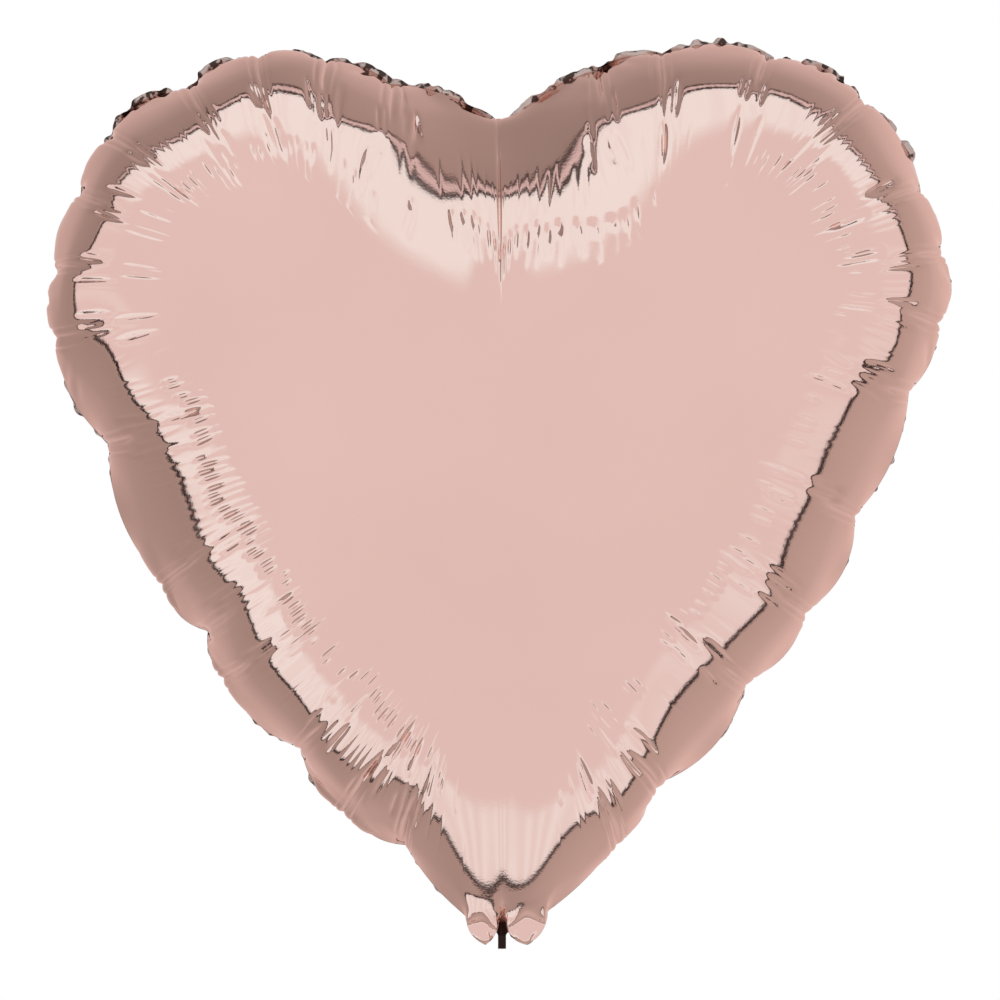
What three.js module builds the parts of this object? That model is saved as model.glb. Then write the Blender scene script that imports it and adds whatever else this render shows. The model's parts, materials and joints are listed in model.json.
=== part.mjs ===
// A heart-shaped foil balloon, inflated, with its filling tail folded up behind it.
//
// Two sheets of metallised film are cut as hearts and welded together round the edge. Gas goes in through a
// flat tail at the heart's tip, between two thin inner films that cling together and act as the valve.
// Millimetres, +Z up, the front faces -Y. The origin is at the neck, where a ribbon is tied.
import * as THREE from 'three';

// Driving dimensions
const FILM = 0.5;            // thickness of a foil sheet, thicker than the real 0.03 mm film
const WELD = 1.2;            // thickness of the weld band between the two sheets
const CLEAR = 0.3;           // gap kept between pieces that touch
const MARGIN = 3.2;          // width of the welded margin outside the seam
const HALF_DEPTH = 66;       // from the seam's plane to the crown of either panel
const CROWN = [0, 205];      // x and z of the point that the rings of a panel shrink to
const RINGS = 6;             // rings of facets from the seam to the crown
const STEPS = 3;             // facets along each scallop
const RING_CROWDING = 2;     // power that crowds the rings towards the seam, where the panel is steepest
const RELAX_SWEEPS = 900;    // sweeps that settle the pressurised shape
const OVER_RELAX = 1.6;      // how far each sweep moves a point, against the move that would balance it
const NORMAL_REACH = 2;      // points each way along the edge that its normal is averaged over

// The edge of the inflated heart, clockwise from the cleft as seen from the front. Each entry is a pleat, where
// the edge is pinched in: x, z, and the rise of the scallop that follows as a share of its chord.
const PLEATS = [
  [0, 341, 0.09], [40, 368, 0.12], [68, 373, 0.16], [115, 371, 0.16], [154, 352, 0.13],
  [179, 314, 0.13], [187, 288, 0.2], [186, 259, 0.12], [174, 230, 0.09], [151, 177, 0.14],
  [130, 136, 0.14], [105, 107, 0.14], [64, 62, 0.13], [49, 37, 0.06], [22, 13, 0.28],
  [4, -4, 0], [-4, -4, 0.26], [-20, 9, 0.07],
  [-42, 37, 0.15], [-66, 53, 0.16], [-86, 78, 0.12], [-118, 108, 0.15], [-126, 128, 0.17],
  [-144, 148, 0.11], [-168, 208, 0.12], [-190, 254, 0.13], [-190, 281, 0.15], [-180, 314, 0.15],
  [-168, 336, 0.2], [-133, 358, 0.21], [-104, 370, 0.17], [-76, 370, 0.13], [-47, 362, 0.11],
];
const NECK_PLEAT = 15;       // the entry of PLEATS where the unwelded gap at the neck starts

// The valve's two inner films, inside the heart
const VALVE_FILM = 0.35;     // thickness of an inner film
const VALVE_GAP = 0.15;      // from the middle plane to each film
const VALVE_REACH = 78;      // z of the films' upper end
const VALVE_WIDTH = 24;
const VALVE_START = -3.7;    // z of the films' lower end, just above the fold
const VALVE_NECK = 10;       // z where the films start to fan out, and where they reach their full width
const VALVE_FAN = 26;

// The filling tail, measured along it from the fold
const FOLD_Y = 1.9;          // the fold runs along X through this y and z
const FOLD_Z = -5.2;
const FOLD_ANGLE = 134;      // degrees from hanging straight down to folded up behind the heart
const TAIL_START = 0.3;
const TAIL_NECK = 11;        // end of the gathered neck
const TAIL_FLARE = 23;       // end of the flare
const TAIL_LENGTH = 62;
const TAIL_WIDTH = 28;
const NECK_WIDTH = 6;
const TAIL_WELD = 3;         // width of the weld down each side of the tail
const NECK_WELD = 0.7;       // the same weld where the neck is gathered
const INLET_WIDTH = 20;      // inner films inside the tail
const INLET_END = 55;

const sheetInner = WELD / 2 + CLEAR;       // distance of a sheet's inner face from the middle plane
const sheetOuter = sheetInner + FILM;

const materials = {
  foil: new THREE.MeshStandardMaterial({ color: 0xe2bbaf, metalness: 0.95, roughness: 0.2 }),
  weld: new THREE.MeshStandardMaterial({ color: 0xc79c8f, metalness: 0.6, roughness: 0.4 }),
  clearFilm: new THREE.MeshStandardMaterial({ color: 0xe9e6e2, metalness: 0, roughness: 0.25 }),
};

function named(name, geometry, material) {
  const mesh = new THREE.Mesh(geometry, material);
  mesh.name = name;
  return mesh;
}

// Points round the outer edge of the margin, STEPS to each scallop, each scallop a shallow parabola.
function edgePoints() {
  const points = [];
  PLEATS.forEach(([x, z, rise], i) => {
    const [nextX, nextZ] = PLEATS[(i + 1) % PLEATS.length];
    const chord = new THREE.Vector2(nextX - x, nextZ - z);
    const outward = new THREE.Vector2(-chord.y, chord.x);
    for (let k = 0; k < STEPS; k++) {
      const t = k / STEPS;
      points.push(new THREE.Vector2(x, z).addScaledVector(chord, t).addScaledVector(outward, 4 * rise * t * (1 - t)));
    }
  });
  return points;
}

// The seam lies one margin inside the edge, along the normal of the edge averaged over a few points.
function seamPoints(edge) {
  return edge.map((point, i) => {
    const before = edge[(i - NORMAL_REACH + edge.length) % edge.length];
    const after = edge[(i + NORMAL_REACH) % edge.length];
    const inward = new THREE.Vector2(after.y - before.y, before.x - after.x).normalize();
    return point.clone().addScaledVector(inward, MARGIN);
  });
}

// Vertex indices of the facets of a ring-shaped grid, whose last ring closes on one vertex at the crown.
function gridFaces(columns, rings) {
  const faces = [];
  const crown = rings * columns;
  for (let r = 0; r < rings; r++) {
    for (let c = 0; c < columns; c++) {
      const a = r * columns + c;
      const b = r * columns + (c + 1) % columns;
      if (r === rings - 1) {
        faces.push([a, b, crown]);
      } else {
        faces.push([a, b, b + columns], [a, b + columns, a + columns]);
      }
    }
  }
  return faces;
}

// Height over the middle plane at each vertex of a flat mesh whose first vertices lie on the seam. The height is
// the square root of a loaded membrane's, which gives an ellipse across a long strip, as an inflated tube has.
function inflatedHeights(points, faces, fixedCount) {
  const links = points.map(() => []);
  const area = new Float64Array(points.length);
  for (const face of faces) {
    for (let k = 0; k < 3; k++) {
      const [a, b, c] = [face[k], face[(k + 1) % 3], face[(k + 2) % 3]];
      const u = points[b].clone().sub(points[a]);
      const v = points[c].clone().sub(points[a]);
      const cross = Math.abs(u.cross(v));
      const weight = u.dot(v) / cross / 2;
      links[b].push([c, weight]);
      links[c].push([b, weight]);
      area[a] += cross / 6;
    }
  }
  const load = new Float64Array(points.length);
  for (let sweep = 0; sweep < RELAX_SWEEPS; sweep++) {
    for (let i = points.length - 1; i >= fixedCount; i--) {
      let sum = area[i];
      let total = 0;
      for (const [j, weight] of links[i]) {
        sum += weight * load[j];
        total += weight;
      }
      load[i] += OVER_RELAX * (sum / total - load[i]);
    }
  }
  const highest = Math.max(...load);
  return Array.from(load, (value) => HALF_DEPTH * Math.sqrt(Math.max(value, 0) / highest));
}

// A closed thin solid from an outer and an inner skin with the same facets, joined along the outer ring.
function shellGeometry(outer, inner, faces, rimCount) {
  const count = outer.length;
  const position = new Float32Array(6 * count);
  [...outer, ...inner].forEach((point, i) => point.toArray(position, 3 * i));
  const index = [];
  for (const [a, b, c] of faces) index.push(a, b, c, count + a, count + c, count + b);
  for (let i = 0; i < rimCount; i++) {
    const next = (i + 1) % rimCount;
    index.push(i, count + i, next, next, count + i, count + next);
  }
  const geometry = new THREE.BufferGeometry();
  geometry.setAttribute('position', new THREE.BufferAttribute(position, 3));
  geometry.setIndex(index);
  return geometry;
}

function averageNormals(points, faces) {
  const normals = points.map(() => new THREE.Vector3());
  for (const [a, b, c] of faces) {
    const normal = points[b].clone().sub(points[a]).cross(points[c].clone().sub(points[a]));
    for (const i of [a, b, c]) normals[i].add(normal);
  }
  return normals.map((normal) => normal.normalize());
}

// The back sheet: an inflated panel with its flat margin.
function panelGeometry(edge, seam) {
  const columns = seam.length;
  const crown = new THREE.Vector2(...CROWN);
  const flat = [];
  for (let r = 0; r < RINGS; r++) {
    const share = (r / RINGS) ** RING_CROWDING;
    seam.forEach((point) => flat.push(point.clone().lerp(crown, share)));
  }
  flat.push(crown.clone());
  const heights = inflatedHeights(flat, gridFaces(columns, RINGS), columns);

  // The margin is one more ring outside the seam.
  const outer = [
    ...edge.map((point) => new THREE.Vector3(point.x, sheetOuter, point.y)),
    ...flat.map((point, i) => new THREE.Vector3(point.x, sheetOuter + heights[i], point.y)),
  ];
  const faces = gridFaces(columns, RINGS + 1);
  const normals = averageNormals(outer, faces);
  const inner = outer.map((point, i) => {
    const onMargin = i < 2 * columns;
    return onMargin ? point.clone().setY(sheetInner) : point.clone().addScaledVector(normals[i], -FILM);
  });
  return shellGeometry(outer, inner, faces, columns);
}

// The mirror image across the middle plane. The index is read backwards, so that the facets still face out.
function mirrored(geometry) {
  const mirror = geometry.clone().scale(1, -1, 1);
  mirror.setIndex(Array.from(geometry.getIndex().array).reverse());
  return mirror;
}

// A flat outline in x and z, given some thickness about the plane y = middle.
function slab(outline, thickness, middle) {
  const shape = new THREE.Shape(outline);
  const geometry = new THREE.ExtrudeGeometry(shape, { depth: thickness, bevelEnabled: false, steps: 1 });
  geometry.translate(0, 0, -thickness / 2);
  geometry.rotateX(Math.PI / 2);
  return geometry.translate(0, middle, 0);
}

// The weld band fills the margin between the two sheets, all the way round except across the neck.
function weldGeometry(edge, seam) {
  const start = (NECK_PLEAT + 1) * STEPS;
  const count = edge.length - STEPS;
  const along = (points) => Array.from({ length: count + 1 }, (_, k) => points[(start + k) % points.length]);
  return slab([...along(edge), ...along(seam).reverse()], WELD, 0);
}

// One of the two inner films in the heart: it fans out from the neck to its full width.
function valveFilmGeometry(side) {
  const neck = NECK_WIDTH / 2 - NECK_WELD;
  const half = VALVE_WIDTH / 2;
  const outline = [
    [-neck, VALVE_START], [neck, VALVE_START], [neck, VALVE_NECK], [half, VALVE_FAN],
    [half, VALVE_REACH], [-half, VALVE_REACH], [-half, VALVE_FAN], [-neck, VALVE_NECK],
  ];
  const points = outline.map(([x, z]) => new THREE.Vector2(x, z));
  return slab(points, VALVE_FILM, side * (VALVE_GAP + VALVE_FILM / 2));
}

// Half the width of the tail at a distance along it, less an inset.
const tailStations = [[TAIL_START, NECK_WIDTH / 2], [TAIL_NECK, NECK_WIDTH / 2], [TAIL_FLARE, TAIL_WIDTH / 2],
  [TAIL_LENGTH, TAIL_WIDTH / 2]];

function tailPlyGeometry(side) {
  const right = tailStations.map(([along, half]) => new THREE.Vector2(half, -along));
  const left = tailStations.map(([along, half]) => new THREE.Vector2(-half, -along)).reverse();
  return slab([...right, ...left], FILM, side * (sheetInner + FILM / 2));
}

function tailWeldGeometry(side) {
  const outer = tailStations.map(([along, half]) => new THREE.Vector2(side * half, -along));
  const inner = tailStations.map(([along, half], i) => {
    const width = i < 2 ? NECK_WELD : TAIL_WELD;
    return new THREE.Vector2(side * (half - width), -along);
  }).reverse();
  return slab([...outer, ...inner], WELD, 0);
}

function inletFilmGeometry(side) {
  const neck = NECK_WIDTH / 2 - NECK_WELD - CLEAR;
  const half = INLET_WIDTH / 2;
  const stations = [[TAIL_START, neck], [TAIL_NECK, neck], [TAIL_FLARE, half], [INLET_END, half]];
  const right = stations.map(([along, x]) => new THREE.Vector2(x, -along));
  const left = stations.map(([along, x]) => new THREE.Vector2(-x, -along)).reverse();
  return slab([...right, ...left], VALVE_FILM, side * (VALVE_GAP + VALVE_FILM / 2));
}

const balloon = new THREE.Group();
const edge = edgePoints();
const seam = seamPoints(edge);
const panel = panelGeometry(edge, seam);
balloon.add(
  named('front_panel', mirrored(panel), materials.foil),
  named('back_panel', panel, materials.foil),
  named('edge_weld', weldGeometry(edge, seam), materials.weld),
  named('valve_film_front', valveFilmGeometry(-1), materials.clearFilm),
  named('valve_film_back', valveFilmGeometry(1), materials.clearFilm),
);

// The tail is built hanging straight down about the fold, then turned up behind the heart.
const hanging = new THREE.Group();
hanging.position.set(0, -FOLD_Y, 0);
hanging.add(
  named('tail_front_ply', tailPlyGeometry(-1), materials.foil),
  named('tail_back_ply', tailPlyGeometry(1), materials.foil),
  named('tail_weld_left', tailWeldGeometry(-1), materials.weld),
  named('tail_weld_right', tailWeldGeometry(1), materials.weld),
  named('inlet_film_front', inletFilmGeometry(-1), materials.clearFilm),
  named('inlet_film_back', inletFilmGeometry(1), materials.clearFilm),
);
const tail = new THREE.Group();
tail.position.set(0, FOLD_Y, FOLD_Z);
tail.rotation.x = THREE.MathUtils.degToRad(FOLD_ANGLE);
tail.add(hanging);
balloon.add(tail);

export default balloon;
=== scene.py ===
"""A heart-shaped foil balloon in rose gold, inflated, in a studio of framed panels.

One heart of film, cut larger than the inflated outline, is blown up in a small film simulation, and the
back is its mirror image. The seam is held at the inflated outline, so the edge can't draw in by itself: the
wider film inside it bends freely and folds, but hardly stretches, and gathers into pleats. It is then
smoothed, and fine creases that aren't simulated are pressed into it. Lengths in this script are millimetres
until a mesh is made, and the frame is the CAD's: +Z up, the front faces -Y, the origin is at the neck.
"""
import json
import math

import bpy
import numpy as np
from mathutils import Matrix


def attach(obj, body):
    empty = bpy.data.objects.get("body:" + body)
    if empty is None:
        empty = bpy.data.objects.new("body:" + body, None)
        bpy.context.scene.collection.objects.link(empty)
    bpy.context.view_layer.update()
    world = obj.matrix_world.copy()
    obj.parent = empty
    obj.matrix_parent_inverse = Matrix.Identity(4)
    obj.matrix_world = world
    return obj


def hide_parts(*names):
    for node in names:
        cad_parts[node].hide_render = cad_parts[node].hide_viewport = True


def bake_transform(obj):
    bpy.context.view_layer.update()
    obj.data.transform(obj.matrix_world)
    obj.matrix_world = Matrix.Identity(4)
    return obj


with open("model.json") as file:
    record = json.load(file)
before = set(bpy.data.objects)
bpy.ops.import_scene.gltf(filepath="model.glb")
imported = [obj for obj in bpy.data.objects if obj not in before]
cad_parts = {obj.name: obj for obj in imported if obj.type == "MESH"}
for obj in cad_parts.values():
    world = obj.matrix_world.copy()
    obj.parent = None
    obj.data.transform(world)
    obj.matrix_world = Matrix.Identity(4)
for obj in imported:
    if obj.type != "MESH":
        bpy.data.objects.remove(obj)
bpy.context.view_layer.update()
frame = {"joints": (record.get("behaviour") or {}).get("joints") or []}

MM = 0.001

# ---------------------------------------------------------------- the heart's edge
# Each entry is a pleat in the edge, clockwise from the cleft as seen from the front: x, z, and the rise of
# the scallop that follows, as a share of its chord. They are the CAD's but for the tip, which here is two
# small lobes with the filling slit between them.
PLEATS = np.array([
    (0, 341, 0.09), (40, 368, 0.12), (68, 373, 0.16), (115, 371, 0.16), (154, 352, 0.13),
    (179, 314, 0.13), (187, 288, 0.2), (186, 259, 0.12), (174, 230, 0.09), (151, 177, 0.14),
    (130, 136, 0.14), (105, 107, 0.14), (64, 62, 0.13), (49, 37, 0.04), (20.5, 9, 0.16), (11, -5.5, 0.12),
    (1.7, 0, 0.0), (0.2, 8, 0.0), (-1.4, 0, 0.12), (-8, -5.5, 0.16), (-16.5, 7, 0.05),
    (-42, 37, 0.15), (-66, 53, 0.16), (-86, 78, 0.12), (-118, 108, 0.15), (-126, 128, 0.17),
    (-144, 148, 0.11), (-168, 208, 0.12), (-190, 254, 0.13), (-190, 281, 0.15), (-180, 314, 0.15),
    (-168, 336, 0.2), (-133, 358, 0.21), (-104, 370, 0.17), (-76, 370, 0.13), (-47, 362, 0.11),
])
CLEFT = 0                               # entry of PLEATS at the cleft
TIP = 17                                # entry of PLEATS at the slit in the tip
CENTRE = np.array([0.0, 205.0])         # x and z where the columns of a sheet's grid meet
SEAM_INSET = 1.6                        # from the pleats in to the seam
FLANGE = 2.6                            # width of the welded margin outside the seam

# ---------------------------------------------------------------- the flat cut
# It is chosen so that the film gathers as it should along the edge, and isn't a maker's pattern.
CUT_SCALE = 1.04                        # the flat heart against the inflated one
CUT_PUSH = 0.17                         # and how far it is pushed out along the edge's normal, as a share of
CUT_REACH = 125.0                       # this length, which is cut short near the tip and at the cleft
CLEFT_REACH = {0: 66, 1: 50, 2: 90, 3: 115, 34: 105, 35: 70}    # that length at entries by the cleft
TIP_SLACK = 1.5                         # that length near the tip, as a share of the distance from the slit
SHOULDERS = {1: (-5, 28), -1: (8, 29)}  # the push's directions at the pleats beside the cleft

# ---------------------------------------------------------------- the simulation: columns, rings, steps,
# pressure for each step, and how much a row of film resists being squeezed across the edge
LEVELS = [(148, 26, 900, 0.004, 0.1), (296, 50, 500, 0.0012, 0.2), (592, 96, 300, 0.0004, 0.5)]
CAP = 0.12                              # the innermost ring, as a share of the way out from CENTRE
EVEN_OVER = 0.009                       # width of the smoothing along a ring, as a share of the ring
EVEN_FROM = (0.0, 0.09)                 # and where it starts and is full, as a share of the way in to CENTRE
BEND = 0.01
DAMPING = 0.01
FIRST_DEPTH = 76.0

# ---------------------------------------------------------------- the finished mesh
BAND_COLUMNS = 1776                     # columns of the band inside the seam that holds the creases
BAND_RINGS = 46
BAND_PAST = 26.0                        # how far the band goes past the place where the comb's dashes start
GRID_EVEN = 0.05                        # smoothing of the columns' directions, as a share of the edge
EVEN_REACH = 24.0                       # distance in from the seam where the rings leave its scallops behind
SQUARE = 0.7                            # how far the columns turn from CENTRE to square on to the edge,
TURN_BACK = [(CLEFT, 8.0, 60.0), (TIP, 20.0, 120.0)]    # less by these pleats: none to all over this range
# The bands inside that one: whether the columns halve, the share of the way in to the cap where each starts
# and ends, and its rings
INNER_BANDS = [(True, 0.0, 0.3, 7), (True, 0.3, 1.0, 14)]
SHOULDER_RISE, SHOULDER_WIDTH = 5.0, 16.0   # the steep shoulder of film below the cleft
SHOULDER_DOWN, SHOULDER_END = 36.0, 170.0   # its top, and where it has faded out, both down from the cleft
MARGIN_SHOWN = (318.0, 352.0)           # heights over which the margin goes from folded back to standing out
MARGIN_THICK, MARGIN_SECTIONS = 0.12, 5 # half its thickness, and points across it

# ---------------------------------------------------------------- the filling tail, folded where the CAD's is
JOINT = frame["joints"][0]
FOLD_Y, FOLD_Z = (1000 * v for v in JOINT["pos_m"][1:])
FOLD_ANGLE = math.radians(-min(JOINT["range_deg"]))
FOLD_FLAT = 0.4                         # the loop of the fold is pressed flat to this share of its height
TAIL_NECK, TAIL_FLARE, TAIL_LENGTH = 11.0, 23.0, 62.0
TAIL_WIDTH, NECK_GATHERED, TAIL_WELD = 28.0, 3.4, 3.0
TAIL_TOP = -5.0
INLET_WIDTH, INLET_GATHERED, INLET_TOP, INLET_END = 20.0, 2.4, 0.5, 55.0
# The valve's films, measured like the tail's but up from the fold
VALVE_WIDTH, VALVE_NECK, VALVE_FAN, VALVE_START, VALVE_END = 24.0, 4.6, (15.0, 31.0), -17.0, -83.0

# ---------------------------------------------------------------- looks and the camera, in metres
NECK_MIDDLE = (0.0003, 0.0, -0.0005)    # the middle of the slit in the tip
PAINTED_FOLD_SHADE = (0.03, 0.015, 0.015, 1)     # the painted shade that is put on the film round it, where its deep folds hide the light
CAMERA_DISTANCE, VIEW_WIDTH, VIEW_MIDDLE = 1.6, 0.424, (-0.00085, 0.1844)


# ================================================================ the edge
def smoothstep(value, low, high):
    t = np.clip((value - low) / (high - low), 0, 1)
    return t * t * (3 - 2 * t)


def unit(v):
    return v / np.linalg.norm(v, axis=-1, keepdims=True)


def edge_normals(points):
    """Outward normal at each point of a clockwise loop, from its two neighbours."""
    tangent = np.roll(points, -1, 0) - np.roll(points, 1, 0)
    return unit(np.stack([-tangent[:, 1], tangent[:, 0]], 1))


pleats = PLEATS[:, :2]
pleat_normals = edge_normals(pleats)
for entry, direction in SHOULDERS.items():
    pleat_normals[entry] = unit(np.array(direction, float))
seam_pleats = pleats - SEAM_INSET * pleat_normals
reach = np.minimum(CUT_REACH, TIP_SLACK * np.linalg.norm(pleats - pleats[TIP], axis=1))
for entry, length in CLEFT_REACH.items():
    reach[entry] = length
cut_pleats = CENTRE + (seam_pleats - CENTRE) * CUT_SCALE + pleat_normals * (CUT_PUSH * reach)[:, None]
COUNT = len(PLEATS)


def split(u):
    k = np.floor(u).astype(int)
    return k % COUNT, (u - k)[:, None]


def seam_at(u):
    """Points of the inflated seam, u counting pleats: a shallow parabola for each scallop."""
    k, t = split(u)
    start, end = seam_pleats[k], seam_pleats[(k + 1) % COUNT]
    chord = end - start
    outward = np.stack([-chord[:, 1], chord[:, 0]], 1)
    return start + chord * t + outward * (4 * PLEATS[k, 2][:, None] * t * (1 - t))


def cut_at(u):
    """Points of the flat cut, one smooth curve through cut_pleats with a corner at the cleft."""
    k, t = split(u)
    p0, p1, p2, p3 = (cut_pleats[(k + d) % COUNT] for d in (-1, 0, 1, 2))
    chord = np.linalg.norm(p2 - p1, axis=1, keepdims=True)
    leave = unit(p2 - p0) * chord * (k != CLEFT)[:, None]
    arrive = unit(p3 - p1) * chord * (k != (CLEFT - 1) % COUNT)[:, None]
    return ((2 * t**3 - 3 * t**2 + 1) * p1 + (t**3 - 2 * t**2 + t) * leave
            + (3 * t**2 - 2 * t**3) * p2 + (t**3 - t**2) * arrive)


def stations(columns):
    """u at columns places, evenly spaced along the flat cut."""
    fine = np.linspace(0, COUNT, 20001)
    points = cut_at(fine)
    along = np.concatenate([[0], np.cumsum(np.linalg.norm(np.diff(points, axis=0), axis=1))])
    return np.interp(np.linspace(0, along[-1], columns, endpoint=False), along, fine)


# ================================================================ the film simulation
def lengths(a, b):
    return np.sqrt(((a - b) ** 2).sum(-1)).astype(np.float32)[..., None]


class Film:
    """A grid of film: rings from the seam in to the cap, and columns that run in towards CENTRE."""

    def __init__(self, columns, rings):
        self.columns = columns
        self.share = 1 - (1 - CAP) * np.linspace(0, 1, rings)
        u = stations(columns)
        seam = seam_at(u)
        share = self.share[:, None, None]
        flat = (CENTRE + (cut_at(u) - CENTRE) * share).astype(np.float32)
        start = CENTRE + (seam - CENTRE) * share
        depth = -FIRST_DEPTH * np.sqrt(np.clip(1 - self.share**2.2, 0, None))[:, None]
        depth = np.repeat(depth, columns, 1)
        self.x = np.stack([start[..., 0], depth, start[..., 1]], -1).astype(np.float32)
        after = np.roll(flat, -1, 1)
        self.hoop = lengths(flat, after)
        self.rib = lengths(flat[1:], flat[:-1])
        self.hoop2 = lengths(flat, np.roll(flat, -2, 1)).reshape(rings, columns // 4, 4, 1)
        self.rib2 = lengths(flat[2:], flat[:-2])
        self.down = lengths(flat[1:], after[:-1])
        self.up = lengths(after[1:], flat[:-1])
        across = (after - np.roll(flat, 1, 1)) / 2
        inward = np.gradient(flat, axis=0)
        area = np.abs(across[..., 0] * inward[..., 1] - across[..., 1] * inward[..., 0])
        self.typical_area = float(np.median(area[2:rings // 3]))
        cap = flat[-1]
        self.cap = cap - cap.mean(0)
        cross = cap[:, 0] * np.roll(cap[:, 1], -1) - cap[:, 1] * np.roll(cap[:, 0], -1)
        self.cap_area = 0.5 * abs(cross.sum())


def pull(a, b, length, stretch, squeeze):
    """Moves the points of a and b towards their length apart, by its share stretch or squeeze."""
    d = b - a
    n = np.sqrt(np.einsum("...k,...k->...", d, d))[..., None] + 1e-9
    c = (n - length) / n
    c *= np.where(c > 0, stretch, squeeze)
    d *= 0.5 * c
    a += d
    b -= d


def paired(film, step, group, length, squeeze, stretch):
    """pull() between every point and the one step columns on, in two passes that don't share points."""
    rings, columns = film.x.shape[:2]
    for shift in (0, step):
        x = np.roll(film.x, -shift, 1).reshape(rings, columns // group, group, 3)
        pull(x[:, :, :step], x[:, :, step:], length[shift // step], stretch, squeeze)
        film.x[:] = np.roll(x.reshape(rings, columns, 3), shift, 1)


def inflate(film, steps, pressure, squeeze):
    x = film.x
    rings, columns = x.shape[:2]
    seam = x[0].copy()
    speed = np.zeros_like(x)
    hoops = [film.hoop[:, s::2, None] for s in (0, 1)]
    hoops2 = [film.hoop2[:, :, :2], film.hoop2[:, :, 2:]]
    for _ in range(steps):
        across = (np.roll(x, -1, 1) - np.roll(x, 1, 1)) * 0.5
        inward = np.gradient(x, axis=0)
        load = np.cross(inward, across) / film.typical_area
        load[-1, :, 1] -= film.cap_area / film.typical_area / columns
        load[0] = 0
        speed += pressure * load
        speed *= 1 - DAMPING
        old = x.copy()
        x += speed
        paired(film, 1, 2, hoops, 0.0, 1.0)
        for s in (0, 1):
            pull(x[s:-1:2], x[s + 1::2], film.rib[s::2], 1.0, squeeze)
        x[0] = seam
        for s in (0, 1):
            after = np.roll(x[s:-1:2], -1, 1)
            pull(after, x[s + 1::2], film.down[s::2], 1.0, 0.0)
            x[s:-1:2] = np.roll(after, 1, 1)
            after = np.roll(x[s + 1::2], -1, 1)
            pull(x[s:-1:2], after, film.up[s::2], 1.0, 0.0)
            x[s + 1::2] = np.roll(after, 1, 1)
        paired(film, 2, 4, hoops2, BEND, 0.0)
        for s in range(4):
            pull(x[s:-2:4], x[s + 2::4], film.rib2[s::4], 0.0, BEND)
        x[0] = seam
        middle = x[-1].mean(0)
        x[-1] = middle
        x[-1, :, ::2] += film.cap
        np.minimum(x[1:, :, 1], 0.0, out=x[1:, :, 1])
        speed[:] = x - old


def catmull(p0, p1, p2, p3, t):
    return 0.5 * (2 * p1 + (p2 - p0) * t + (2 * p0 - 5 * p1 + 4 * p2 - p3) * t**2
                  + (3 * p1 - p0 - 3 * p2 + p3) * t**3)


def surface(film, along, share):
    """Points of the film's surface. along is the share of the way round the cut and share the way out from
    CENTRE, and they are arrays of the same shape."""
    place = along * film.columns
    j = np.floor(place).astype(int)
    t = (place - j)[..., None]
    last = len(film.share) - 1
    down = np.interp(-share, -film.share, np.arange(last + 1))
    i = np.clip(np.floor(down).astype(int), 0, last - 1)
    s = (down - i)[..., None]
    rows = []
    for di in (-1, 0, 1, 2):
        r = np.clip(i + di, 0, last)
        rows.append(catmull(*(film.x[r, (j + dj) % film.columns] for dj in (-1, 0, 1, 2)), t))
    return catmull(*rows, s)


def plain_grid(columns, share):
    return np.meshgrid(np.arange(columns) / columns, share)


def inflated_film():
    film = None
    for columns, rings, steps, pressure, squeeze in LEVELS:
        finer = Film(columns, rings)
        if film is not None:
            finer.x[1:] = surface(film, *plain_grid(columns, finer.share))[1:]
        inflate(finer, steps, pressure, squeeze)
        film = finer
    return film


def evened(film):
    """Smooths the film along its rings, away from the seam and not across the cleft, so that the creases put
    in next are the ones that show."""
    reach = round(3 * EVEN_OVER * film.columns)
    weights = np.exp(-0.5 * (np.arange(-reach, reach + 1) / (EVEN_OVER * film.columns)) ** 2)
    weights /= weights.sum()
    x = np.concatenate([film.x, film.x[:, :1]], 1).astype(float)
    before = 2 * x[:, :1] - x[:, reach:0:-1]
    behind = 2 * x[:, -1:] - x[:, -2:-reach - 2:-1]
    long = np.concatenate([before, x, behind], 1)
    smooth = sum(w * long[:, k:k + x.shape[1]] for k, w in enumerate(weights))[:, :-1]
    share = smoothstep(1 - film.share, *EVEN_FROM)[:, None, None]
    film.x = film.x + share * (smooth - film.x)
    return film


# ================================================================ the fine grid
def fine_columns(columns):
    """Where the fine grid's columns leave the seam, how far the seam without its scallops lies from there,
    and the columns' directions: nearly square to the edge, but turned towards CENTRE near the cleft and the
    tip, where they would spread or cross."""
    seam = seam_at(stations(columns))
    reach = round(GRID_EVEN * columns)
    window = np.hanning(2 * reach + 1)
    window /= window.sum()
    even = sum(w * np.roll(seam, reach - k, 0) for k, w in enumerate(window))
    inward = -edge_normals(even)
    centred = unit(CENTRE - seam)
    free = np.ones(columns)
    for entry, low, high in TURN_BACK:
        free *= smoothstep(np.linalg.norm(seam - pleats[entry], axis=1), low, high)
    return seam, (even - seam) * free[:, None], unit(centred + (inward - centred) * (SQUARE * free)[:, None])


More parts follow.
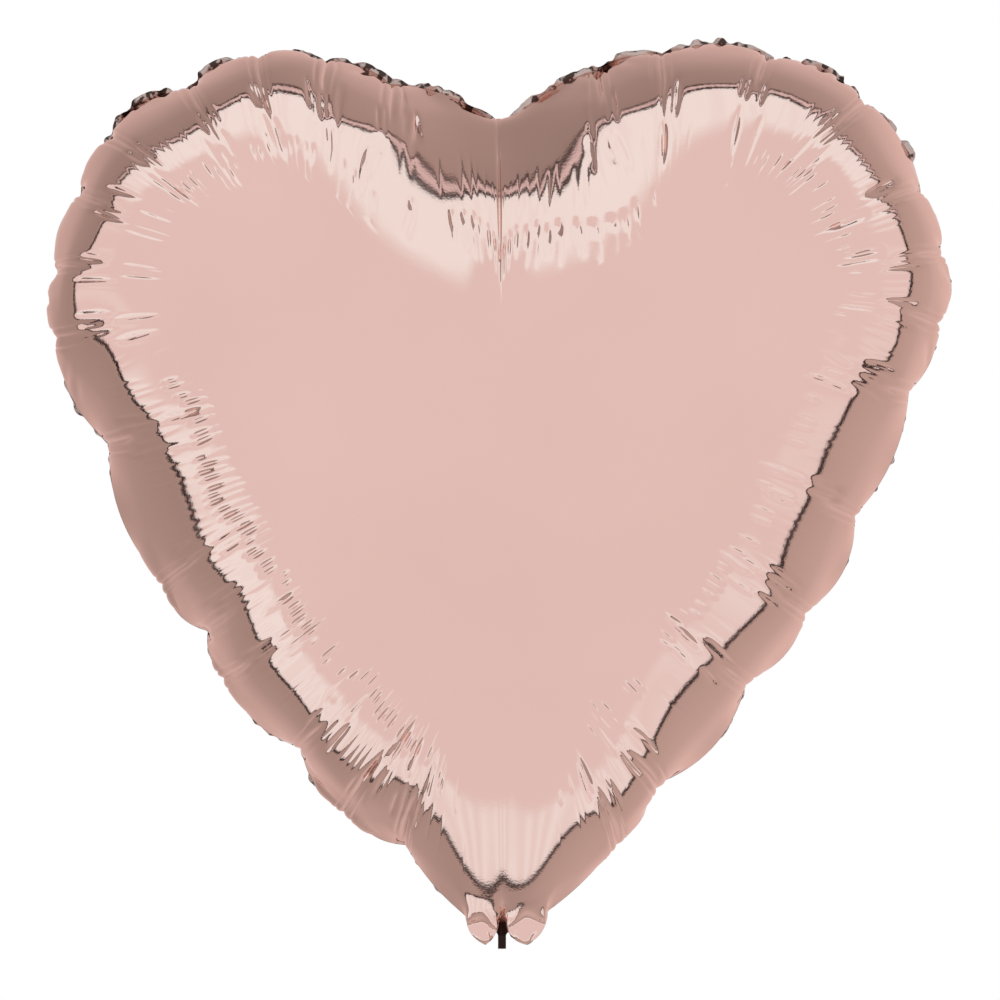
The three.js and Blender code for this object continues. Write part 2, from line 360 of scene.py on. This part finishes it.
def band_places(columns, distances):
    """The film's own terms of the place at each distance in from the seam, in rows, on each column: the share
    of the way round the cut, and the share of the way out from CENTRE."""
    seam, even, direction = fine_columns(columns)
    cut = np.arange(4001) / 4000
    outline = seam_at(np.concatenate([stations(4000), [COUNT]])) - CENTRE
    angle = np.unwrap(np.arctan2(outline[:, 0], outline[:, 1]))
    radius = np.linalg.norm(outline, axis=1)
    plain = np.append(seam + even, (seam + even)[:1], 0) - CENTRE
    plain_angle = np.unwrap(np.arctan2(plain[:, 0], plain[:, 1]))
    plain_radius = np.linalg.norm(plain, axis=1)
    distances = distances[..., None]
    place = seam + even * smoothstep(distances, 0, EVEN_REACH) + direction * distances - CENTRE
    turn = np.arctan2(place[..., 0], place[..., 1])
    expected = np.linspace(angle[0], angle[-1], columns, endpoint=False)
    turn += 2 * math.pi * np.round((expected - turn) / (2 * math.pi))
    whole = np.interp(turn, angle, radius)
    evenness = smoothstep(distances[..., 0], 0, EVEN_REACH)
    whole += (np.interp(turn, plain_angle, plain_radius) - whole) * evenness
    return np.interp(turn, angle, cut), np.linalg.norm(place, axis=-1) / whole


# ================================================================ creases
# How marked the comb of fine creases is along the edge, against the pleat that it starts from.
COMB = [(0, 1.0), (1.1, 0.8), (1.8, 0.25), (3.2, 0.25), (3.8, 0.8), (5.2, 0.7), (5.8, 0.35), (8, 0.35),
        (10, 0.45), (12.5, 0.55), (14, 0.2), (14.3, 0), (19.8, 0), (20, 0.3), (21, 0.7), (23, 0.9),
        (27.2, 1.0), (27.6, 0.35), (28.2, 0.15), (30.3, 0.15), (31, 0.7), (32, 0.6), (33, 0.3), (35, 0.4),
        (36, 1.0)]
# How far in from the seam the comb's dashes start
COMB_IN = [(0, 54), (0.5, 60), (1, 66), (2, 60), (3, 48), (4, 41), (34, 40), (35, 50), (35.6, 54), (36, 54)]
COMB_STEP = 6                # columns from one crease of the comb to the next


def crease_depth(inset, spacing, rng):
    """How far each point of the band is pressed in. Creases run along the columns. inset is each point's
    distance from the seam as seen from the front, and spacing the space between columns there."""
    rows, columns = spacing.shape
    depth = np.zeros((rows, columns))
    pleat_of = stations(columns)

    def press(centre, start, end, deep, width, drift=0.0):
        away = inset[:, int(centre) % columns]
        rise = smoothstep(away, start, start + 0.3 * (end - start))
        fall = 1 - smoothstep(away, end - 0.45 * (end - start), end)
        for i in np.nonzero(rise * fall)[0]:
            middle = centre + drift * (away[i] - start)
            wide = max(width / spacing[i, int(middle) % columns], 0.9)
            reach = math.ceil(3.2 * wide)
            j = np.arange(math.floor(middle) - reach, math.floor(middle) + reach + 2)
            depth[i, j % columns] += deep * rise[i] * fall[i] * np.exp(-(np.abs(j - middle) / wide) ** 1.3)

    for k in range(columns // COMB_STEP):
        centre = COMB_STEP * k + rng.integers(-1, 2)
        place = pleat_of[centre % columns]
        weight = float(np.interp(place, *np.transpose(COMB)))
        inner = np.interp(place, *np.transpose(COMB_IN)) + rng.uniform(-1.5, 1.5)
        # Faint streaks in from the edge, then the comb's dashes, then their ends that fade out.
        if rng.random() < 0.2 + 0.8 * weight:
            press(centre, inner - rng.uniform(25, 29), inner - rng.uniform(0, 5),
                  weight * rng.uniform(0.1, 0.3), 0.6)
        if rng.random() < weight:
            press(centre, inner - 1, inner + rng.uniform(6, 9), weight * rng.uniform(0.9, 1.5), 0.6)
            press(centre, inner + 4, inner + rng.uniform(14, 21), weight * rng.uniform(0.3, 0.6), 0.7)
    # The line down from the cleft.
    press(0, -4, 66, 1.1, 0.7)
    # Each pleat's main crease, with a fine one on either side, then clusters further in.
    for k in range(COUNT):
        if k == CLEFT or TIP - 4 < k < TIP + 4:
            continue
        cusp = np.searchsorted(pleat_of, k)
        drift = rng.uniform(-0.2, 0.2)
        press(cusp, -6, rng.uniform(17, 23), rng.uniform(1.0, 1.8), rng.uniform(1.2, 1.8))
        for beside, end in ((-6, 17), (5, 21)):
            press(cusp + beside, -8, end, 0.6, 0.5)
        for _ in range(rng.integers(4, 7)):
            press(cusp + rng.integers(-12, 13), rng.uniform(9, 14), rng.uniform(24, 34),
                  rng.uniform(0.4, 0.9), rng.uniform(0.6, 0.9), drift)
        for _ in range(3):
            press(cusp + rng.integers(-12, 13), rng.uniform(24, 30), rng.uniform(44, 58),
                  rng.uniform(0.4, 0.8), rng.uniform(0.8, 1.4), drift)
    depth[0] = 0
    return depth


def cleft_shoulder(points):
    """Raises the film below the cleft, so that it climbs steeply and then bends over."""
    x, z = points[..., 0], points[..., 2]
    down = pleats[CLEFT][1] - z
    raised = smoothstep(down, 0, SHOULDER_DOWN) * (1 - smoothstep(down, SHOULDER_DOWN, SHOULDER_END))
    points[..., 1] -= SHOULDER_RISE * raised * np.exp(-np.abs(x) / SHOULDER_WIDTH)
    return points


def grid_normals(points):
    across = np.roll(points, -1, 1) - np.roll(points, 1, 1)
    inward = np.gradient(points, axis=0)
    return unit(np.cross(inward, across))


# ================================================================ meshes
def sheet_mesh(name, film, seed, side):
    """One foil sheet. side is -1 for the front and 1 for the back, which is the front's mirror image with
    creases of its own."""
    columns = BAND_COLUMNS
    reach = np.interp(stations(columns), *np.transpose(COMB_IN)) + BAND_PAST
    along, share = band_places(columns, np.linspace(0, 1, BAND_RINGS)[:, None] * reach)
    band = surface(film, along, share)
    spacing = lengths(band, np.roll(band, -1, 1))[..., 0]
    inset = lengths(band[..., ::2], seam_at(stations(columns)))[..., 0]
    pressed = crease_depth(inset, spacing, np.random.default_rng(seed))
    band = cleft_shoulder(band - grid_normals(band) * pressed[..., None])
    points, faces = [band.reshape(-1, 3)], []
    ring = np.arange(columns)

    def join(outer, inner):
        """Faces between two rings of points, where the inner one has as many as the outer or half as many."""
        n = len(inner)
        o, i = outer.reshape(n, -1), inner
        o_next, i_next = np.roll(outer.reshape(n, -1)[:, 0], -1), np.roll(inner, -1)
        if o.shape[1] == 1:
            faces.extend(np.stack([o[:, 0], i, i_next, o_next], 1).tolist())
            return
        for trio in ((o[:, 0], i, o[:, 1]), (o[:, 1], i, i_next), (o[:, 1], i_next, o_next)):
            faces.extend(np.stack(trio, 1).tolist())

    for r in range(1, BAND_RINGS):
        join(ring, ring + columns)
        ring = ring + columns
    count = ring[-1] + 1
    along, outer = along[-1], share[-1]
    for halves, start, end, rings in INNER_BANDS:
        along = along[::2] if halves else along
        outer = outer[::2] if halves else outer
        columns = len(along)
        for step in range(1, rings + 1):
            place = start + (end - start) * step / rings
            out = outer + (CAP - outer) * place
            points.append(cleft_shoulder(surface(film, along, out)))
            inner = count + np.arange(columns)
            join(ring, inner)
            ring = inner
            count += columns
    middle = points[-1].mean(0)
    cap = points[-1]
    for out in (0.66, 0.33):
        points.append(middle + (cap - middle) * out)
        join(ring, ring + columns)
        ring = ring + columns
        count += columns
    points.append(middle[None])
    faces += np.stack([ring, np.full(columns, count), np.roll(ring, -1)], 1).tolist()
    points = np.vstack(points)
    if side > 0:
        points[:, 1] *= -1
        faces = [face[::-1] for face in faces]
    return made(name, points, faces)


def made(name, points, faces):
    """A smooth-shaded mesh object from points in millimetres."""
    mesh = bpy.data.meshes.new(name)
    mesh.from_pydata((np.asarray(points, float) * MM).tolist(), [], faces)
    mesh.polygons.foreach_set("use_smooth", [True] * len(mesh.polygons))
    mesh.update()
    piece = bpy.data.objects.new(name, mesh)
    bpy.context.scene.collection.objects.link(piece)
    return piece


def noise_loop(rng, columns, length, pitch):
    """Smooth random values round a closed loop, from -1 to 1, that change every pitch millimetres."""
    knots = max(8, int(length / pitch))
    values = rng.uniform(-1, 1, knots)
    place = np.arange(columns) * knots / columns
    j = np.floor(place).astype(int)
    t = place - j
    return np.clip(catmull(*(values[(j + d) % knots] for d in (-1, 0, 1, 2)), t), -1, 1)


def flange_mesh(name, seed):
    """The welded margin outside the seam: a thin crinkled strip, which stands out along the top of the heart
    and is folded back behind it elsewhere."""
    rng = np.random.default_rng(seed)
    columns = BAND_COLUMNS
    u = stations(columns)
    seam = seam_at(u)
    normals = edge_normals(seam)
    length = np.linalg.norm(seam - np.roll(seam, 1, 0), axis=1).sum()
    shown = smoothstep(seam[:, 1], *MARGIN_SHOWN)
    tilt = 0.9 * noise_loop(rng, columns, length, 7) + 0.55 * noise_loop(rng, columns, length, 2.6)
    tilt = shown * tilt + (1 - shown) * (1.75 + 0.5 * tilt)
    curl = (0.3 + 0.5 * shown) * noise_loop(rng, columns, length, 4.5)
    width = FLANGE * (0.1 + 0.9 * smoothstep(np.linalg.norm(seam - pleats[TIP], axis=1), 7, 14))
    rings = []
    for side in (-1, 1):
        for k in range(MARGIN_SECTIONS)[::-side]:
            share = k / (MARGIN_SECTIONS - 1)
            angle = tilt + curl * share
            strip = seam + normals * (np.cos(angle) * width * share)[:, None]
            y = np.sin(angle) * width * share + side * MARGIN_THICK
            rings.append(np.stack([strip[:, 0], y, strip[:, 1]], 1))
    count = len(rings)
    c = np.arange(columns)
    faces = []
    for r in range(count):
        a, b = r * columns + c, r * columns + (c + 1) % columns
        d, e = (r + 1) % count * columns + c, (r + 1) % count * columns + (c + 1) % columns
        faces += np.stack([a, b, e, d], 1).tolist()
    return made(name, np.vstack(rings), faces)


# ================================================================ the filling tail
def tail_point(x, along, off):
    """A point of the tail: along is measured from the fold, negative up into the neck, and off across the
    film towards the front."""
    turn = np.clip(along / FOLD_Y, 0, FOLD_ANGLE)
    past = np.maximum(along - FOLD_Y * FOLD_ANGLE, 0)
    before = np.minimum(along, 0)
    radius = FOLD_Y + off
    y = FOLD_Y - radius * np.cos(turn) + past * np.sin(turn)
    z = FOLD_Z - FOLD_FLAT * radius * np.sin(turn) - before - past * np.cos(turn)
    return np.stack([x, y, z], -1)


def half_width(along, neck, width):
    return (neck + (width - neck) * smoothstep(along, TAIL_NECK, TAIL_FLARE)) / 2


def ply_half(along):
    return half_width(along, NECK_GATHERED, TAIL_WIDTH)


def inlet_half(along):
    return half_width(along, INLET_GATHERED, INLET_WIDTH)


def valve_half_width(along):
    return (VALVE_NECK + (VALVE_WIDTH - VALVE_NECK) * smoothstep(-along, *VALVE_FAN)) / 2


def strip_area(half, start, end):
    """The flat area of a strip in square metres. half gives half its width at a distance along it."""
    along = np.linspace(start, end, 400)
    return float(2 * half(along).mean() * (end - start)) * MM**2


def ripple(rng, x, along):
    """Crumples of the film, stronger in the gathered neck."""
    gather = 1 - smoothstep(np.abs(along), TAIL_NECK, TAIL_FLARE + 14)
    waves = 0.0
    for _ in range(7):
        a, b, phase = rng.uniform(0.1, 0.5), rng.uniform(-0.16, 0.16), rng.uniform(0, 6.3)
        waves = waves + np.abs(np.sin(a * x + b * along + phase)) ** 1.5
    return 0.16 * (waves - 3.5) + 0.35 * gather * np.sin(3.2 * x + 1.0)


def strip_mesh(name, half, start, end, off, seed, bulge=0.0):
    """A film of the tail or the valve. half gives half its width at a distance along it."""
    rng = np.random.default_rng(seed)
    columns, rings = 41, 120
    along = np.linspace(start, end, rings)[:, None] * np.ones((1, columns))
    share = np.linspace(-1, 1, columns)[None, :]
    x = half(along) * share
    swell = bulge * np.cos(math.pi / 2 * share) * smoothstep(along, TAIL_NECK, TAIL_FLARE + 8)
    grid = tail_point(x, along, off + swell + ripple(rng, x, along) * smoothstep(np.abs(along), 0, 9))
    faces = []
    for r in range(rings - 1):
        for c in range(columns - 1):
            a = r * columns + c
            faces.append((a, a + 1, a + columns + 1, a + columns))
    if off < 0:
        faces = [face[::-1] for face in faces]
    return made(name, grid.reshape(-1, 3), faces)


def tail_weld_mesh(name, side, seed):
    """The crimped weld down one side of the tail: a closed strip between the plies."""
    rng = np.random.default_rng(seed)
    along = np.linspace(0.5, TAIL_LENGTH, 180)
    outer = side * half_width(along, NECK_GATHERED, TAIL_WIDTH)
    inner = outer - side * (0.7 + (TAIL_WELD - 0.7) * smoothstep(along, TAIL_NECK, TAIL_FLARE))
    crimp = 0.07 * np.sin(along * 2 * math.pi / 1.4) + ripple(rng, outer, along) * 0.3
    corners = [(outer, 0.2), (outer, -0.2), (inner, -0.2), (inner, 0.2)]
    points = np.stack([tail_point(x, along, crimp + off) for x, off in corners], 1).reshape(-1, 3)
    faces = [(3, 2, 1, 0), tuple(len(points) - 4 + k for k in range(4))]
    for r in range(len(along) - 1):
        for k in range(4):
            a, b = 4 * r + k, 4 * r + (k + 1) % 4
            faces.append((a, b, b + 4, a + 4))
    if side > 0:
        faces = [face[::-1] for face in faces]
    return made(name, points, faces)


# ================================================================ materials
class Nodes:
    """Short ways to build a node tree."""

    def __init__(self, tree):
        self.tree = tree

    def put(self, value, socket):
        """Sets a socket to a value, or links another node's output to it."""
        if isinstance(value, bpy.types.NodeSocket):
            self.tree.links.new(value, socket)
        else:
            socket.default_value = value

    def add(self, kind, **values):
        """A new node, with values for its inputs, or for its settings where it has no such input."""
        node = self.tree.nodes.new("ShaderNode" + kind)
        for key, value in values.items():
            if key in node.inputs:
                self.put(value, node.inputs[key])
            else:
                setattr(node, key, value)
        return node

    def math(self, operation, *values):
        node = self.add("Math", operation=operation)
        for value, socket in zip(values, node.inputs):
            self.put(value, socket)
        return node.outputs[0]

    def noise(self, scale, detail):
        place = self.add("TexCoord").outputs["Object"]
        return self.add("TexNoise", Vector=place, Scale=scale, Detail=detail).outputs["Fac"]

    def ramp(self, value, stops):
        """The colour at value, from stops that each have a place from 0 to 1 and a colour."""
        node = self.add("ValToRGB", Fac=value)
        elements = node.color_ramp.elements
        while len(elements) < len(stops):
            elements.new(0.5)
        for element, (place, colour) in zip(elements, stops):
            element.position = place
            element.color = (*colour, 1)
        return node.outputs["Color"]

    def map_range(self, value, source, target, **settings):
        """value, moved from the range source to the range target."""
        node = self.add("MapRange", Value=value, **settings)
        for key, number in zip(("From Min", "From Max", "To Min", "To Max"), (*source, *target)):
            node.inputs[key].default_value = number
        return node.outputs["Result"]

    def mixed(self, share, first, second, **settings):
        """A mix of two colours, share of it the second."""
        node = self.add("Mix", data_type="RGBA", **settings)
        for value, index in ((share, 0), (first, 6), (second, 7)):
            self.put(value, node.inputs[index])
        return node.outputs[2]


def new_material(name):
    material = bpy.data.materials.new(name)
    material.use_nodes = True
    return material, material.node_tree.nodes["Principled BSDF"], Nodes(material.node_tree)


def with_painted_fold_shade(nodes, colour, size):
    """colour, with painted shade in a small place round NECK_MIDDLE, because the mesh's own folds there are
    too shallow to shade it. size is half the size of that place along each axis."""
    place = nodes.add("TexCoord").outputs["Object"]
    offset = nodes.add("VectorMath", operation="SUBTRACT")
    nodes.put(place, offset.inputs[0])
    offset.inputs[1].default_value = NECK_MIDDLE
    scaled = nodes.add("VectorMath", operation="DIVIDE")
    nodes.put(offset.outputs[0], scaled.inputs[0])
    scaled.inputs[1].default_value = size
    away = nodes.add("VectorMath", operation="LENGTH")
    nodes.put(scaled.outputs[0], away.inputs[0])
    share = nodes.map_range(away.outputs["Value"], (0.8, 1.1), (0, 1))
    return nodes.mixed(share, PAINTED_FOLD_SHADE, colour)


def foil_material(name, rough, gathered):
    """Metallised film: rose gold metal under clear film, slightly uneven in tone, gloss and surface, with
    painted shade round the slit. gathered is half the size of that painted shade's place along each axis.
    """
    material, shader, nodes = new_material(name)
    tone = nodes.ramp(nodes.noise(9.0, 4.0), [(0.3, (0.83, 0.553, 0.487)), (0.7, (0.86, 0.580, 0.513))])
    # painted shade of the folds round the slit
    nodes.put(with_painted_fold_shade(nodes, tone, gathered), shader.inputs["Base Color"])
    gloss = nodes.map_range(nodes.noise(42.0, 3.0), (0, 1), (rough - 0.02, rough + 0.04))
    nodes.put(gloss, shader.inputs["Roughness"])
    bump = nodes.add("Bump", Strength=0.05, Distance=0.0002, Height=nodes.noise(900.0, 2.0))
    nodes.put(bump.outputs["Normal"], shader.inputs["Normal"])
    shader.inputs["Metallic"].default_value = 1.0
    shader.inputs["Specular Tint"].default_value = (0.95, 0.82, 0.78, 1)
    return material


def welded_material(name):
    """The crinkled margin: duller film, with bumped creases and painted shade in them."""
    material, shader, nodes = new_material(name)
    tone = nodes.ramp(nodes.noise(30.0, 3.0), [(0.35, (0.52, 0.39, 0.35)), (0.65, (0.64, 0.50, 0.45))])
    # one noise for the creases' bumps and their painted shade
    crease_and_shade = nodes.noise(240.0, 2.0)
    # painted shade: the colour is darkened nearly to black where the crease noise is low
    painted_crease_shade = nodes.ramp(crease_and_shade, [(0.45, (0.10, 0.07, 0.06)), (0.51, (1, 1, 1))])
    with_painted_crease_shade = nodes.mixed(1.0, tone, painted_crease_shade, blend_type="MULTIPLY")
    # and painted shade of the folds round the slit at the neck
    nodes.put(with_painted_fold_shade(nodes, with_painted_crease_shade, (0.004, 1, 0.0105)), shader.inputs["Base Color"])
    bump = nodes.add("Bump", Strength=0.4, Distance=0.0006, Height=crease_and_shade)
    nodes.put(bump.outputs["Normal"], shader.inputs["Normal"])
    shader.inputs["Metallic"].default_value = 0.5
    shader.inputs["Roughness"].default_value = 0.3
    return material


def clear_film_material(name):
    """The valve's thin film: clear, with a little haze."""
    material, shader, nodes = new_material(name)
    haze = nodes.map_range(nodes.noise(60.0, 3.0), (0, 1), (0.12, 0.3))
    nodes.put(haze, shader.inputs["Roughness"])
    shader.inputs["Base Color"].default_value = (0.93, 0.92, 0.9, 1)
    shader.inputs["Transmission Weight"].default_value = 0.85
    shader.inputs["IOR"].default_value = 1.3
    return material


def floor_material():
    material, shader, nodes = new_material("pale_floor")
    tone = nodes.ramp(nodes.noise(3.0, 5.0), [(0, (0.80, 0.79, 0.78)), (1, (0.86, 0.85, 0.84))])
    nodes.put(tone, shader.inputs["Base Color"])
    shader.inputs["Roughness"].default_value = 0.7
    return material


# ================================================================ studio
# Light by how far a direction turns to the camera's side, from -1 straight behind the balloon to 1: a grey
# room, then the dark frames of the panels, the panels, and the room behind the camera.
PANEL, DIM_PANEL, ROOM = (1.02, 1.22, 1.27), (0.9, 0.895, 0.92), (0.89, 0.89, 0.915)
BLACK, BROWN, PINK = (0.03, 0.02, 0.02), (0.5, 0.45, 0.43), (0.85, 0.8, 0.82)
BEHIND = [(-1, (0.86, 0.80, 0.80)), (-0.62, (0.72, 0.66, 0.65)), (-0.3, (0.56, 0.51, 0.49)), (0, BROWN)]
DOUBLE_FRAME = [(0.01, BROWN), (0.02, BLACK), (0.035, BLACK), (0.045, PINK), (0.085, PINK), (0.095, BLACK),
                (0.12, BLACK)]
SINGLE_FRAME = [(0.07, BROWN), (0.085, BLACK), (0.112, BLACK)]
PANEL_START, PANEL_END, TOP_PANEL_END, PANEL_EDGE = 0.135, 0.46, 0.39, 0.07
FROM_ABOVE = (0.15, 0.5)                # where the single frame gives way to the double one overhead
TILT_ABOVE = 0.3                        # how far the frames lean towards the camera overhead,
TILT_BELOW, BELOW_FROM = 2.0, 0.79      # and straight below, where they start at this much downward
# How bright the panels are at each angle round the camera, in degrees from the top, positive to the right
PANELS = [(-180, 0.55), (-158, 0.6), (-142, 0.7), (-131, 0.85), (-121, 1), (-114, 1), (-108, 0.1),
          (-64, 0.05), (-50, 0.8), (-42, 1), (58, 1), (72, 0.08), (112, 0.08), (120, 0.25), (132, 0.4),
          (150, 0.65), (180, 0.55)]
STRIPES, STRIPE_SHARE = 26, 0.2         # fainter and brighter stripes along the panels
# The light behind the balloon falls off overhead and grows to the right
BEHIND_ABOVE, BEHIND_RIGHT = -0.22, 0.16


def panel_light(nodes, front, frame_stops, panel, end):
    """The light's colour where the panels have the colour panel and end at end."""
    stops = BEHIND + frame_stops + [(PANEL_START, panel), (end, panel), (end + PANEL_EDGE, ROOM), (1, ROOM)]
    place = nodes.math("MULTIPLY_ADD", front, 0.5, 0.5)
    return nodes.ramp(place, [((at + 1) / 2, colour) for at, colour in stops])


def studio_light(nodes):
    """The colour and the strength of the light from each direction."""
    parts = nodes.add("SeparateXYZ", Vector=nodes.add("TexCoord").outputs["Generated"])
    right, back, up = parts.outputs
    above = nodes.math("MAXIMUM", up, 0.0)
    below = nodes.math("MAXIMUM", nodes.math("MULTIPLY_ADD", up, -1, -BELOW_FROM), 0.0)
    front = nodes.math("SUBTRACT", nodes.math("MULTIPLY", back, -1),
                       nodes.math("MULTIPLY", above, TILT_ABOVE))
    front = nodes.math("SUBTRACT", front, nodes.math("MULTIPLY", below, TILT_BELOW))

    lit = nodes.mixed(nodes.map_range(above, FROM_ABOVE, (0, 1), interpolation_type="SMOOTHSTEP"),
                      panel_light(nodes, front, SINGLE_FRAME, PANEL, PANEL_END),
                      panel_light(nodes, front, DOUBLE_FRAME, PANEL, TOP_PANEL_END))
    turn = nodes.math("DIVIDE", nodes.math("ARCTAN2", right, up), math.pi)
    panels = nodes.ramp(nodes.math("MULTIPLY_ADD", turn, 0.5, 0.5),
                        [((angle / 180 + 1) / 2, (share,) * 3) for angle, share in PANELS])
    stripes = nodes.math("COSINE", nodes.math("MULTIPLY", turn, STRIPES * math.pi))
    panels = nodes.math("ADD", panels, nodes.math("MULTIPLY", stripes, STRIPE_SHARE))
    colour = nodes.mixed(panels, panel_light(nodes, front, SINGLE_FRAME, DIM_PANEL, PANEL_END), lit)

    slope = nodes.math("MULTIPLY", above, BEHIND_ABOVE)
    slope = nodes.math("ADD", slope, nodes.math("MULTIPLY", right, BEHIND_RIGHT))
    behind = nodes.map_range(front, (0.04, 0.08), (1, 0), interpolation_type="SMOOTHSTEP")
    return colour, nodes.math("ADD", nodes.math("MULTIPLY", slope, behind), 1.0)


def studio():
    """Light from all round: bright panels round the camera in dark frames, dimmer at its sides, a plain room
    behind the camera, and a dimmer one behind the balloon. The picture's own background is plain white."""
    scene = bpy.context.scene
    world = bpy.data.worlds.new("studio")
    scene.world = world
    world.use_nodes = True
    world.node_tree.nodes.clear()
    nodes = Nodes(world.node_tree)
    colour, strength = studio_light(nodes)
    light = nodes.add("Background", Color=colour, Strength=strength)
    white = nodes.add("Background", Color=(1, 1, 1, 1))
    mix = nodes.add("MixShader", Fac=nodes.add("LightPath").outputs["Is Camera Ray"])
    nodes.put(light.outputs[0], mix.inputs[1])
    nodes.put(white.outputs[0], mix.inputs[2])
    nodes.add("OutputWorld", Surface=mix.outputs[0])
    scene.view_settings.view_transform = "Standard"


def pale_floor():
    bpy.ops.mesh.primitive_circle_add(vertices=96, radius=1.1, fill_type="NGON", location=(0, 0, -0.3))
    floor = bpy.context.object
    floor.name = "floor"
    floor.data.materials.append(floor_material())
    floor.visible_glossy = False


def camera():
    """Level, straight at the front, the balloon filling the picture."""
    data = bpy.data.cameras.new("camera")
    data.sensor_width = 36
    data.lens = data.sensor_width * CAMERA_DISTANCE / VIEW_WIDTH
    eye = bpy.data.objects.new("camera", data)
    eye.location = (VIEW_MIDDLE[0], -CAMERA_DISTANCE, VIEW_MIDDLE[1])
    eye.rotation_euler = (math.pi / 2, 0, 0)
    bpy.context.scene.collection.objects.link(eye)
    bpy.context.scene.camera = eye


# ================================================================ assembly
def add_hearts(foil):
    """The two sheets of film, blown up."""
    film = evened(inflated_film())
    sheets = (("front_sheet", "front_panel", 11, -1), ("back_sheet", "back_panel", 23, 1))
    for name, node, seed, side in sheets:
        sheet = sheet_mesh(name, film, seed, side)
        sheet.data.materials.append(foil)
        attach(sheet, "envelope")
        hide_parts(node)


def add_margin(weld):
    flange = flange_mesh("welded_margin", 5)
    flange.data.materials.append(weld)
    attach(flange, "envelope")
    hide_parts("edge_weld")


def add_to_tail(piece, material, node):
    """Gives a piece of the tail its material, bakes its transform, and hides the CAD's part that it stands
    for.
    """
    piece.data.materials.append(material)
    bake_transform(piece)
    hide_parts(node)


def add_tail_and_valve(foil, weld, clear):
    """The tail's plies and welds, the inlet films between them, and the valve's films above the fold."""
    for side, word in ((-1, "front"), (1, "back")):
        ply = strip_mesh(f"tail_{word}_film", ply_half, TAIL_TOP, TAIL_LENGTH, -0.45 * side, 31, -0.5 * side)
        add_to_tail(ply, foil, f"tail_{word}_ply")
        strip_area(ply_half, TAIL_TOP, TAIL_LENGTH)
        inlet = strip_mesh(f"inlet_{word}_sheet", inlet_half, INLET_TOP, INLET_END, -0.12 * side, 31,
                           -0.2 * side)
        add_to_tail(inlet, clear, f"inlet_film_{word}")
        strip_area(inlet_half, INLET_TOP, INLET_END)
        valve = strip_mesh(f"valve_{word}_sheet", valve_half_width, VALVE_END, VALVE_START, -0.2 * side, 41)
        valve.data.materials.append(clear)
        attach(valve, "envelope")
        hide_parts(f"valve_film_{word}")
        strip_area(valve_half_width, VALVE_END, VALVE_START)
    for side, word in ((-1, "left"), (1, "right")):
        add_to_tail(tail_weld_mesh(f"tail_seam_{word}", side, 50 + side), weld, f"tail_weld_{word}")


camera()
studio()
pale_floor()

# The last value is half the size of the painted shade round the slit: small on the heart, large on the tail,
# where it covers the neck and the fold
panel_foil = foil_material("rose_gold_foil", 0.05, (0.0026, 1, 0.0085))
tail_foil = foil_material("gathered_foil_painted_shade", 0.08, (0.03, 0.017, 0.017))
welded = welded_material("welded_foil")
add_hearts(panel_foil)
add_margin(welded)
add_tail_and_valve(tail_foil, welded, clear_film_material("clear_film"))
